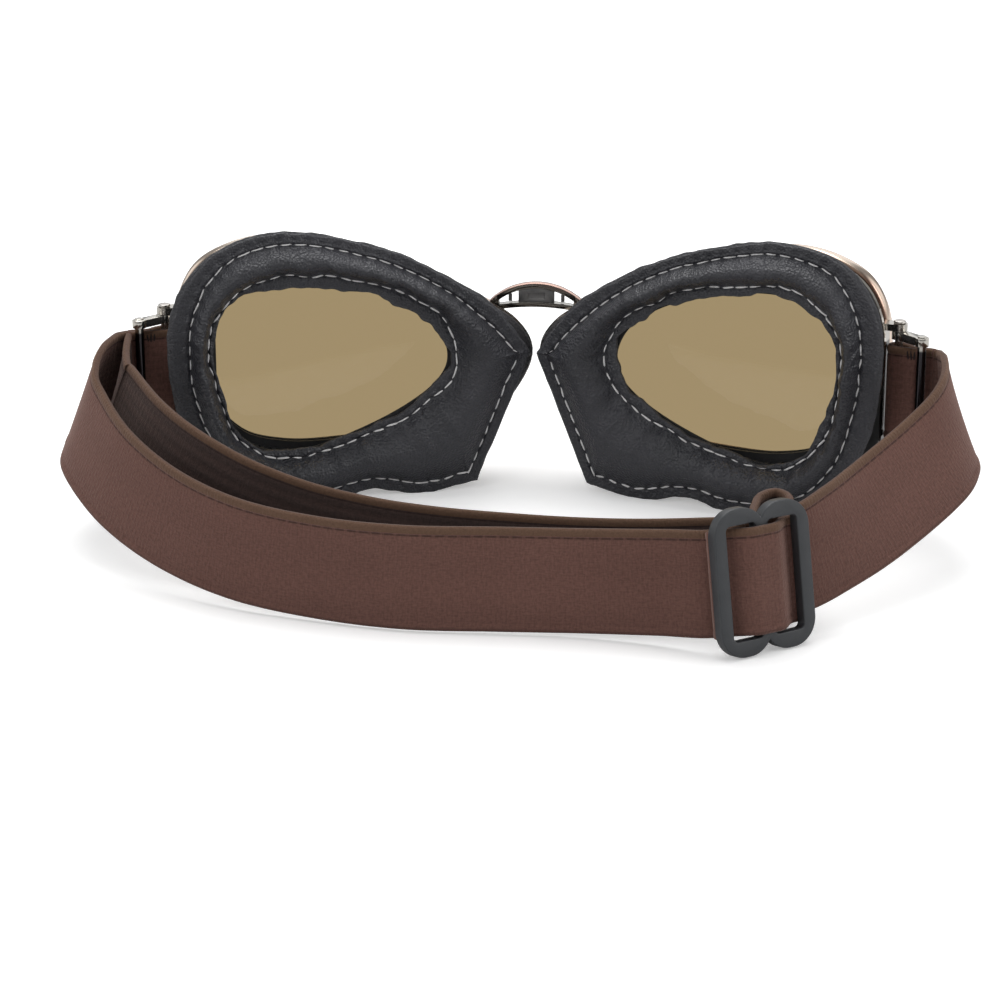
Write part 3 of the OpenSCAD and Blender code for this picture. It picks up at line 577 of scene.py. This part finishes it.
def stitch_tree(name, finish):
    """Stitches along a line, made by Geometry Nodes from named sizes."""
    group = bpy.data.node_groups.new(name, "GeometryNodeTree")
    sizes = group.interface
    sizes.new_socket("Geometry", in_out="INPUT", socket_type="NodeSocketGeometry")
    for label, kind, value in (
        ("Pitch", "NodeSocketFloat", 0.0035), ("Length", "NodeSocketFloat", 0.0024),
        ("Thread", "NodeSocketFloat", 0.0003), ("Outwards", "NodeSocketVector", (0, -1, 0)),
        ("Seed", "NodeSocketInt", 1),
    ):
        sizes.new_socket(label, in_out="INPUT", socket_type=kind).default_value = value
    sizes.new_socket("Geometry", in_out="OUTPUT", socket_type="NodeSocketGeometry")
    tree = Tree(group)
    given = group.nodes.new("NodeGroupInput").outputs
    size = {label: Sock(tree, given[label]) for label in (
        "Geometry", "Pitch", "Length", "Thread", "Outwards", "Seed")}
    line = tree.node("GeometryNodeMeshToCurve", None, {0: size["Geometry"]})
    spots = tree.node("GeometryNodeCurveToPoints", {"mode": "LENGTH"}, {
        "Curve": line, "Length": size["Pitch"]})
    along = Sock(tree, spots.out.node.outputs["Tangent"])

    def point(x, z):
        return tree.node("ShaderNodeCombineXYZ", None, {0: x, 2: z})

    bow = tree.node("GeometryNodeCurveQuadraticBezier", None, {
        "Resolution": 4, "Start": point(size["Length"] * -0.5, size["Thread"] * -0.9),
        "Middle": point(0.0, size["Thread"] * 2.0),
        "End": point(size["Length"] * 0.5, size["Thread"] * -0.9)})
    ring = tree.node("GeometryNodeCurvePrimitiveCircle", {"mode": "RADIUS"}, {
        "Resolution": 6, "Radius": size["Thread"]})
    bar = tree.node("GeometryNodeCurveToMesh", None, {0: bow, 1: ring, "Fill Caps": True})
    lie = tree.node("FunctionNodeAlignRotationToVector", {"axis": "X"}, {"Vector": along})
    lie = tree.node("FunctionNodeAlignRotationToVector", {"axis": "Z", "pivot_axis": "X"}, {
        "Rotation": lie, "Vector": size["Outwards"]})
    sway = tree.node("FunctionNodeRandomValue", {"data_type": "FLOAT"}, {
        "Min": -0.2, "Max": 0.2, "Seed": size["Seed"]}, 1)
    lie = tree.node("FunctionNodeRotateRotation", {"rotation_space": "LOCAL"}, {
        "Rotation": lie, "Rotate By": tree.node("ShaderNodeCombineXYZ", None, {2: sway})})
    grown = tree.node("FunctionNodeRandomValue", {"data_type": "FLOAT"}, {
        "Min": 0.82, "Max": 1.12, "Seed": size["Seed"] + 1}, 1)
    sewn = tree.node("GeometryNodeInstanceOnPoints", None, {
        "Points": spots, "Instance": bar, "Rotation": lie,
        "Scale": tree.node("ShaderNodeCombineXYZ", None, {0: grown, 1: 1.0, 2: 1.0})})
    real = tree.node("GeometryNodeRealizeInstances", None, {0: sewn})
    done = tree.node("GeometryNodeSetMaterial", None, {
        "Geometry": real, "Material": finish.material})
    group.links.new(done.out, group.nodes.new("NodeGroupOutput").inputs[0])
    return group


def sew(name, lines, tree, **sizes):
    """Runs the stitches along lines of points and returns them as one plain mesh."""
    points, edges = [], []
    for line, closed in lines:
        first, count = len(points), len(line)
        points += [tuple(p) for p in line]
        edges += [(first + i, first + (i + 1) % count) for i in range(count - (not closed))]
    mesh = bpy.data.meshes.new(name + "_line")
    mesh.from_pydata(points, edges, [])
    guide = bpy.data.objects.new(name + "_line", mesh)
    bpy.context.collection.objects.link(guide)
    modifier = guide.modifiers.new("stitches", "NODES")
    modifier.node_group = tree
    keys = {item.name: item.identifier for item in tree.interface.items_tree
            if item.in_out == "INPUT"}
    for label, value in sizes.items():
        modifier[keys[label]] = value
    guide.update_tag()
    seen = guide.evaluated_get(bpy.context.evaluated_depsgraph_get())
    made = bpy.data.meshes.new_from_object(seen)
    made.shade_smooth()
    bpy.data.objects.remove(guide)
    stitches = bpy.data.objects.new(name, made)
    bpy.context.collection.objects.link(stitches)
    return stitches


seam_stitch = stitch_tree("seam_stitch", thread)
seam_lift = 0.00012  # metres, so that a stitch lies on the leather
for side, (outer_line, inner_line, hand) in seam_lines.items():
    outwards = np.array([-hand * math.sin(WRAP), -math.cos(WRAP), 0])
    lift = outwards * seam_lift
    seams = sew(side + "_seam_stitches",
                [(outer_line + lift, True), (inner_line + lift, True)], seam_stitch,
                Pitch=stitch_pitch / 1000, Length=0.0036, Thread=0.00027,
                Outwards=tuple(outwards), Seed=4 + hand)
    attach(seams, side + "_cup")


# Leather side walls. One strip a side runs from the outer seam back to the cup, where its cuff
# is clamped by the rail. It gathers into soft folds where it turns round the temple.
wall_hide = leather("side_leather_black", (38, 38, 40), (50, 49, 52), 0.42)
wall_front, cuff_front, cuff_back, cuff_end = 3.3, 8.9, 9.8, 10.5
outer_face, inner_face = 0.1, 0.8  # insets of the cuff's two faces from the cup's outline
for side, hand in (("left", -1), ("right", 1)):
    cuff_loop = smooth_loop(bezel_points, coarse_steps)
    edge, outer_seam, _, _, hem, _ = pad_lines(hand)
    at_seam = smooth_loop(outer_seam, fine_steps, pad_corners)
    at_seam_in = smooth_loop(inset(edge, hem + 1.4), fine_steps, pad_corners)
    at_cuff = smooth_loop(inset(cuff_loop, outer_face), fine_steps)
    at_cuff_in = smooth_loop(inset(cuff_loop, inner_face), fine_steps)
    run = np.linalg.norm(at_cuff - at_seam, axis=1)
    gathers = (rumple(at_seam, 3.4, 21.0 * hand) + 0.7 * rumple(at_seam, 8, 30.0)) * np.clip(
        run / 14, 0.25, 1)
    out = inset(at_seam, -1) - at_seam
    tuck = 1.7 * ramp(at_seam[:, 0], 24, 8)
    rows = []
    for t in np.linspace(0, 1, 10):
        sag = math.sin(math.pi * t)
        flat = at_seam + (at_cuff - at_seam) * t + out * ((gathers * 0.5 - tuck) * sag)[:, None]
        rows.append(in_place(hand, flat, wall_front + (cuff_front - wall_front) * t
                             + 0.3 * gathers * sag))
    rows += [in_place(hand, at_cuff, n) for n in (cuff_back, cuff_end)]
    rows += [in_place(hand, at_cuff_in, n) for n in (cuff_end, cuff_back, cuff_front)]
    for t in (0.2, 0.4, 0.6, 0.8, 1):
        flat = at_cuff_in + (at_seam_in - at_cuff_in) * t
        flat = flat - out * (tuck * math.sin(math.pi * t))[:, None]
        rows.append(in_place(hand, flat, cuff_front + (wall_front - cuff_front) * t))
    wall = new_piece(side + "_side_wall", np.array(rows).reshape(-1, 3),
                     skin_through(np.array(rows)), wall_hide)
    mark(wall, "raw", np.zeros(len(wall.data.vertices)))
    rounder = wall.modifiers.new("rounder", "SUBSURF")
    rounder.levels = rounder.render_levels = 1
    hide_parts(side + "_pad_side")
    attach(wall, side + "_cup")


# Bridge. A slotted arch of nickel with painted light on it: faces turned up are painted lighter
# than faces turned down, and its top edge carries a painted copper-coloured highlight. A darker
# block is pressed into its middle. Its bosses turn on a steel post at the nose corner of each cup.
def rounded_copy(name, source, width, finish, body, rings=2):
    """Stands for a CAD node, with the same shape and its sharp edges broken by a fillet."""
    mesh = node[source].data.copy()
    mesh.materials.clear()
    mesh.materials.append(finish.material)
    work = bmesh.new()
    work.from_mesh(mesh)
    bmesh.ops.remove_doubles(work, verts=work.verts, dist=2e-6)
    bmesh.ops.dissolve_limit(work, angle_limit=math.radians(0.6), verts=work.verts,
                             edges=work.edges)
    work.to_mesh(mesh)
    work.free()
    piece = bpy.data.objects.new(name, mesh)
    bpy.context.collection.objects.link(piece)
    fillet = piece.modifiers.new("fillet", "BEVEL")
    fillet.width, fillet.segments = width, rings
    fillet.limit_method, fillet.angle_limit = "ANGLE", math.radians(32)
    seen = piece.evaluated_get(bpy.context.evaluated_depsgraph_get())
    piece.data = bpy.data.meshes.new_from_object(seen)
    piece.modifiers.clear()
    piece.data.shade_smooth()
    piece.data.set_sharp_from_angle(angle=math.radians(40))
    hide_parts(source)
    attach(piece, body)


arch_half, arch_drop, highlight_from = 0.0133, 0.0057, 0.0525  # metres
nickel = Finish("nickel_with_painted_light", Metallic=1.0)
# Painted light and shade: lighter where the surface faces up, and a painted copper highlight along
# the arch's top edge.
facing_up = nickel.part_of(nickel.node("ShaderNodeNewGeometry", out="Normal"), "Z")
from_middle = nickel.part_of(nickel.place, "X") / arch_half
on_arch = nickel.part_of(nickel.place, "Z") + from_middle * from_middle * arch_drop
top_highlight = facing_up.between(0.05, 0.75) * on_arch.between(highlight_from, highlight_from + 0.0007)
nickel.link("Base Color", nickel.mix(
    top_highlight, nickel.mix(facing_up.between(0.2, 0.8), shade(104, 99, 93), shade(178, 176, 172)),
    shade(238, 196, 180)))
nickel.link("Roughness", 0.12 + nickel.cloud(700, 3) * 0.12)
block_nickel = Finish("block_nickel", Metallic=0.85)
block_nickel.link("Base Color", block_nickel.mix(
    block_nickel.cloud(450, 3), shade(92, 92, 93), shade(136, 134, 132)))
block_nickel.link("Roughness", 0.3 + block_nickel.cloud(900, 3) * 0.2)
steel = Finish("pin_steel_bright", Metallic=1.0)
steel.link("Base Color", steel.mix(steel.cloud(600), shade(176, 172, 168), shade(212, 208, 202)))
steel.link("Roughness", 0.2 + steel.cloud(1200, 3) * 0.16)
rounded_copy("bridge_arch", "bridge_frame", 0.00022, nickel, "root")
rounded_copy("bridge_centre", "bridge_block", 0.00015, block_nickel, "root")
dress("bridge_ribs", block_nickel)
for side in ("left", "right"):
    dress(side + "_bridge_post", steel)


# Strap pins and lugs. A steel pin runs through the bracket's ears, and the strap is folded
# round it. A chromed lug swings on the pin, and its riveted bar holds the fold shut.
arm_from, arm_to = 0.0128, 0.0136  # metres above and below the bracket's middle
lug_chrome = Finish("lug_chrome", Metallic=1.0)
# The lug's bar between its arms, behind the strap's fold, gets painted shade: a dark colour in
# place of bright chrome.
lug_chrome.link("Base Color", lug_chrome.mix(
    abs(lug_chrome.part_of(lug_chrome.place, "Z") - bracket_z).between(arm_from, arm_to),
    shade(62, 60, 63), lug_chrome.mix(
        lug_chrome.cloud(420, 3), shade(170, 167, 161), shade(222, 218, 210))))
lug_chrome.link("Roughness", 0.08 + lug_chrome.cloud(800, 3) * 0.12)
for side in ("left", "right"):
    rounded_copy(side + "_pin", side + "_strap_pin", 0.0002, steel, side + "_cup")
    rounded_copy(side + "_lug", side + "_strap_lug", 0.00035, lug_chrome, side + "_lug")


# Head strap. Elastic webbing 26 mm wide with a turned, bound edge that is stitched down in dark
# thread. Its face is a close brown knit, and its back shows the ribs of the rubber threads.
strap_thick = 1.5
# Across the webbing, in centimetres from its middle, and along its seam
binding_from, binding_to, seam_across, stitch_repeat = 1.09, 1.11, 1.06, 0.31
foot_shade_from, foot_shade_to, edge_ribs = 1.19, 1.22, 9
dark_seam = shade(44, 31, 28)


def webbing_finish(name, low, high, bind_low, bind_high, rib, cross, depth):
    """Woven elastic. The piece's own map gives centimetres along it and across it."""
    cloth = Finish(name, Specular_IOR_Level=0.25, Sheen_Weight=0.2,
                   Sheen_Roughness=0.45, Sheen_Tint=(1.0, 0.74, 0.66, 1))
    run = cloth.node("ShaderNodeUVMap", {"uv_map": "webbing"})
    along, across = cloth.part_of(run, "X"), cloth.part_of(run, "Y")
    ribs = (across * rib).wave() * 0.5 + 0.5
    picks = (along * cross).wave() * 0.5 + 0.5
    fuzz = cloth.cloud(2300, 4)
    threads = (cloth.cloud(1.0, 2, cloth.stretched(24, 7, 0, run)).between(0.36, 0.64)
               + cloth.cloud(1.0, 2, cloth.stretched(7, 24, 0, run)).between(0.36, 0.64)) * 0.5
    speck = cloth.cloud(24, 3, cloth.stretched(1, 1, 0, run))
    edge = across.between(binding_from, binding_to)
    # Painted shade: the face is darkened along the webbing's lower edge, next to the table.
    foot = (across * -1).between(foot_shade_from, foot_shade_to)
    blotch = cloth.cloud(46, 3)
    face = cloth.mix(blotch * 0.5 + speck * 0.5, shade(*low), shade(*high))
    face = cloth.mix(picks * 0.06 + threads * 0.38 + fuzz * 0.1 + ribs * (0.3 * depth), face,
                     shade(*low, 0.62))
    face = cloth.mix(foot * 0.6, face, shade(*low, 0.75))
    bound = cloth.mix(fuzz, shade(*bind_low), shade(*bind_high))
    seam = (1 - abs(abs(across) - seam_across).between(0.012, 0.035)) * (
        0.1 + (across > 0) * 0.9)
    in_stitch = (along / stitch_repeat) % 1.0
    dash = in_stitch.between(0.16, 0.22) * (1 - in_stitch.between(0.86, 0.94))
    cloth.link("Base Color", cloth.mix(
        seam * (dash * 0.35 + 0.3), cloth.mix(edge, face, bound), dark_seam))
    cloth.link("Roughness", 0.82 + fuzz * 0.15)
    edge_rib = (along * edge_ribs).wave() * 0.5
    cloth.relief(ribs * (0.9 * depth) * (1 - edge) + picks * 0.2 + edge_rib * edge * 0.2
                 + threads * 0.6 + fuzz * 0.6 - seam * 1.2, 0.55, 0.00028)
    return cloth


brown_face = webbing_finish("strap_brown_knit", (99, 69, 61), (121, 87, 78), (80, 59, 47),
                            (106, 81, 65), 0.8, 8.5, 0.15)
brown_back = webbing_finish("strap_brown_back", (84, 59, 53), (105, 76, 68), (78, 58, 46),
                            (102, 78, 62), 6.0, 5.0, 0.6)
dark_ribbed = webbing_finish("strap_dark_ribbed", (52, 41, 39), (76, 58, 53), (76, 57, 45),
                             (100, 76, 60), 3.4, 5.0, 1.0)
binding = Finish("strap_binding", Specular_IOR_Level=0.25, Sheen_Weight=0.1)
binding.link("Base Color", binding.mix(binding.cloud(900, 4), shade(70, 50, 41),
                                       shade(98, 73, 60)))
binding.link("Roughness", 0.85 + binding.cloud(1500) * 0.1)
binding.relief(binding.cloud(1900, 4), 0.6, 0.0003)
# Half of the webbing's face in section: how far out from its middle, and how thick there
half_section = [
    (12.85, 0.48), (12.4, 0.86), (11.8, 0.93), (11.2, 0.84), (10.7, 0.62), (10.0, 0.75),
    (6.5, 0.76), (3.2, 0.76), (0, 0.76)]
front_section = half_section + [(-w, h) for w, h in half_section[-2::-1]]
section = front_section + [(-w, -h) for w, h in front_section]


def webbing(name, centre, up, outwards, face, back):
    """Webbing swept along centre points in millimetres, with its own map in centimetres."""
    count, around = len(centre), len(section)
    w, h = (np.array(part)[None, :, None] for part in zip(*section))
    points = (centre[:, None] + up[:, None] * w + outwards[:, None] * h) / 1000
    row, spot = np.arange(count - 1)[:, None] * around, np.arange(around)[None]
    first, after = row + spot, row + (spot + 1) % around
    faces = np.stack([first, after, after + around, first + around], -1).reshape(-1, 4).tolist()
    faces += [list(range(around))[::-1], [(count - 1) * around + i for i in range(around)]]
    piece = new_piece(name, points.reshape(-1, 3), faces, face, (back, binding))
    length = np.concatenate([[0], np.cumsum(np.linalg.norm(np.diff(centre, axis=0), axis=1))])
    layer = piece.data.uv_layers.new(name="webbing")
    half = len(front_section)
    for number, polygon in enumerate(piece.data.polygons):
        if number >= len(faces) - 2:  # the two cut ends
            for corner in polygon.loop_indices:
                layer.data[corner].uv = (0, 0)
            continue
        part = number % around
        polygon.material_index = 2 if part in (half - 1, around - 1) else int(part >= half)
        for corner in polygon.loop_indices:
            i = piece.data.loops[corner].vertex_index
            layer.data[corner].uv = (length[i // around] / 10, section[i % around][0] / 10)
    return piece


def way_along(centre):
    """The direction of a line at each of its points."""
    way = np.gradient(centre, axis=0)
    return way / np.linalg.norm(way, axis=1)[:, None]


def smooth_route(points, steps):
    """Open smooth line through its points."""
    p = np.array(points, float)
    before, after = np.vstack([p[:1], p[:-1]]), np.vstack([p[1:], p[-1:]])
    slope = (after - before) / 2
    line = curve_through(p[:-1], p[1:], slope[:-1], slope[1:], steps)
    return np.vstack([line, p[-1:]])


def route_frames(points, steps):
    """Centres in place, and the ways up and outwards, for webbing that stands on its edge."""
    line = smooth_route(points, steps)
    centre = line[:, :3] + np.array([0, FACE_Y, -FOOT_CUT])
    along = way_along(centre)
    beside = np.cross(along, (0, 0, 1))
    beside /= np.linalg.norm(beside, axis=1)[:, None]
    rising = np.cross(beside, along)
    lean = np.radians(line[:, 3])[:, None]
    return (centre, np.cos(lean) * rising - np.sin(lean) * beside,
            np.cos(lean) * beside + np.sin(lean) * rising)


# Routes of the webbing's middle: x, y from the cups' faces, z, and its lean in degrees
outer_left_route = [
    (-106.9, -21.35, 35, 1), (-107.8, -22.15, 35, 1), (-108.9, -23.5, 35.1, 3),
    (-110.8, -27.4, 35.9, 9), (-113.9, -36, 36, 20), (-114.3, -46, 34, 21),
    (-111.5, -57.5, 30.8, 22), (-100, -75, 24.6, 16), (-84, -90, 19.2, 9),
    (-65, -102, 15.8, 4), (-43.5, -109.5, 14.3, 2), (-22, -113.6, 14, 4),
    (0, -113.6, 14.2, 5), (21, -114.6, 14.8, 4), (39, -117.4, 16, 6), (51.65, -119.8, 17, 10),
    (60, -114, 17.6, 10)]
outer_right_route = [
    (60, -114, 17.6, 10), (72.2, -105.1, 18.8, 12), (81, -95.5, 21, 18),
    (90.5, -83, 24, 27), (103.5, -65.5, 29.8, 31), (110, -54, 33.6, 27),
    (112.2, -43, 36.2, 21), (110.8, -30, 36, 10), (108.9, -23.5, 35.1, 3),
    (107.8, -22.15, 35, 1), (106.9, -21.35, 35, 1)]
inner_route = [
    (-106.2, -23.6, 35, 1), (-107, -28, 34.9, 8), (-107.2, -37, 34.2, 16),
    (-106, -45.2, 33.4, 20), (-104.2, -48.6, 33, 21), (-94, -66.5, 30, 22),
    (-82, -79.5, 26.4, 19), (-67, -88.2, 21.6, 15), (-50.8, -92.7, 17.4, 11),
    (-33.5, -96.2, 14.9, 9), (-16.6, -100, 14.1, 9), (0.5, -103, 14, 10),
    (17.6, -105, 14, 11), (35, -105.4, 14.2, 12), (54.5, -103.6, 14.6, 14)]
route_steps = 12
outer_left = webbing("strap_outer_left", *route_frames(outer_left_route, route_steps),
                     brown_face, brown_back)
outer_right = webbing("strap_outer_right", *route_frames(outer_right_route, route_steps),
                      brown_face, brown_back)
inner = webbing("strap_inner_layer", *route_frames(inner_route, route_steps),
                dark_ribbed, dark_ribbed)
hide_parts("strap_outer")
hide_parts("strap_outer")
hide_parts("strap_inner")
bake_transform(outer_left)
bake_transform(inner)
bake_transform(outer_right)


# Strap ends. Each end of the webbing is folded round its pin. On the wearer's right the flap is
# short, and on the left it runs on past the lug. Bar tacks near both edges hold the fold shut.
PIN_U, PIN_N, FOLD_R, BAR_U = 97.6, 14.5, 2.2, 105.02
flap_n = PIN_N - FOLD_R  # the flap's middle
strap_v, tack_length = 35.0, 2.9
tack_rows, tack_feet = (BAR_U - 4.1, BAR_U - 3.2, BAR_U - 2.3), (23.9, 46.2)
tack_thread = Finish("dark_thread", Roughness=0.8)
tack_thread.link("Base Color", tack_thread.mix(
    tack_thread.cloud(1800), shade(34, 24, 23), shade(58, 42, 38)))
tack = stitch_tree("tack_stitch", tack_thread)
# The folded ends take a lighter copy of the brown knit: painted light where they lie in shade
# between pad and strap.
lit_fold_face = webbing_finish("strap_brown_fold_painted_light", (108, 76, 68), (132, 96, 86), (86, 64, 51),
                           (112, 86, 69), 5.0, 8.5, 0.3)
for side, hand in (("left", -1), ("right", 1)):
    short = [(BAR_U - 1.8, flap_n - 0.1)]
    past = [(BAR_U + 2.3, flap_n - 0.6), (BAR_U + 0.9, flap_n - 0.15)]
    fold = [(PIN_U - FOLD_R * math.sin(a), PIN_N - FOLD_R * math.cos(a))
            for a in np.radians(range(0, 181, 15))]
    path = smooth_route((short if hand > 0 else past) + [(PIN_U + 1.6, flap_n)] + fold + [
        (PIN_U + 1.4, PIN_N + FOLD_R - 0.5), (PIN_U + 3.2, PIN_N + 0.55),
        (PIN_U + 4.6, PIN_N - 0.5), (BAR_U + 1.6, flap_n + 1.55), (BAR_U + 2.4, flap_n + 1.4)], 3)
    flat = np.stack([path[:, 0], np.full(len(path), strap_v)], 1)
    centre = in_place(hand, flat, path[:, 1]) * 1000
    upright = np.tile([0.0, 0.0, 1.0], (len(centre), 1))
    end = webbing(side + "_folded_end", centre, upright,
                  np.cross(way_along(centre), upright) * hand, lit_fold_face, lit_fold_face)
    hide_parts(side + "_strap_end")
    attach(end, side + "_cup")
    outwards = np.array([-hand * math.sin(WRAP), -math.cos(WRAP), 0])
    on_flap = flap_n - strap_thick / 2 - 0.05
    lines = [(in_place(hand, np.array([[u, foot], [u, foot + tack_length]]), on_flap), False)
             for u in tack_rows for foot in tack_feet]
    tacks = sew(side + "_bar_tacks", lines, tack, Pitch=0.003, Length=0.0026, Thread=0.00026,
                Outwards=tuple(outwards), Seed=9 + hand)
    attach(tacks, side + "_cup")


# Slider. A black three-bar moulding with rounded bars, two oblong windows and a waist between
# them. The strap goes in over its middle bar, and the end of the inner layer curls behind it.
moulded = Finish("slider_moulding", Specular_IOR_Level=0.45)
moulded.link("Base Color", moulded.mix(
    moulded.cloud(160, 3), shade(45, 47, 50), shade(58, 60, 63)))
moulded.link("Roughness", 0.34 + moulded.cloud(900, 3) * 0.16)
moulded.relief(moulded.cloud(2100, 3), 0.2, 0.0001)
rounded_copy("slider_body", "slider", 0.00095, moulded, "slider", rings=4)
slider_tall, slider_thick = 35.5, 3
weave_half, weave_depth, over_bar, beside_bar = 12.9, 2.3, 2.3, 9.5
yaw, lean = math.radians(36 - 180), math.radians(10)
slider_x = np.array([math.cos(yaw), math.sin(yaw), 0])
slider_y = np.array([-math.sin(yaw) * math.cos(lean), math.cos(yaw) * math.cos(lean),
                     math.sin(lean)])
slider_z = np.cross(slider_x, slider_y)
slider_at = np.array([63, -118 + FACE_Y,
                      (slider_tall * math.cos(lean) + slider_thick * math.sin(lean)) / 2])
xs = np.linspace(-weave_half, weave_half, 61)
ys = weave_depth * np.cos(math.pi * ramp(abs(xs), over_bar, beside_bar))
centre = slider_at + xs[:, None] * slider_x + ys[:, None] * slider_y
upright = np.tile(slider_z, (len(xs), 1))
weave = webbing("strap_over_bar", centre, upright, np.cross(upright, way_along(centre)),
                brown_face, brown_back)
curl_route = [
    (56.4, -113.9, 17.2, 10), (59.4, -111, 17.2, 10), (61.2, -106, 17.2, 7),
    (61.6, -98, 17.2, 4), (62.4, -91, 17.2, 2), (65.8, -86.8, 17.2, 0),
    (69.2, -90, 17.2, -2), (69.8, -96.5, 17.2, -3), (68, -102.2, 17.2, -3),
    (65.4, -106.2, 17.2, -4)]
curl = webbing("strap_curl", *route_frames(curl_route, route_steps), dark_ribbed, dark_ribbed)
for piece, source, slot in ((weave, "slider_weave", "strap_webbing"),
                            (curl, "slider_loop", "inner_webbing")):
    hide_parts(source)
    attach(piece, "slider")
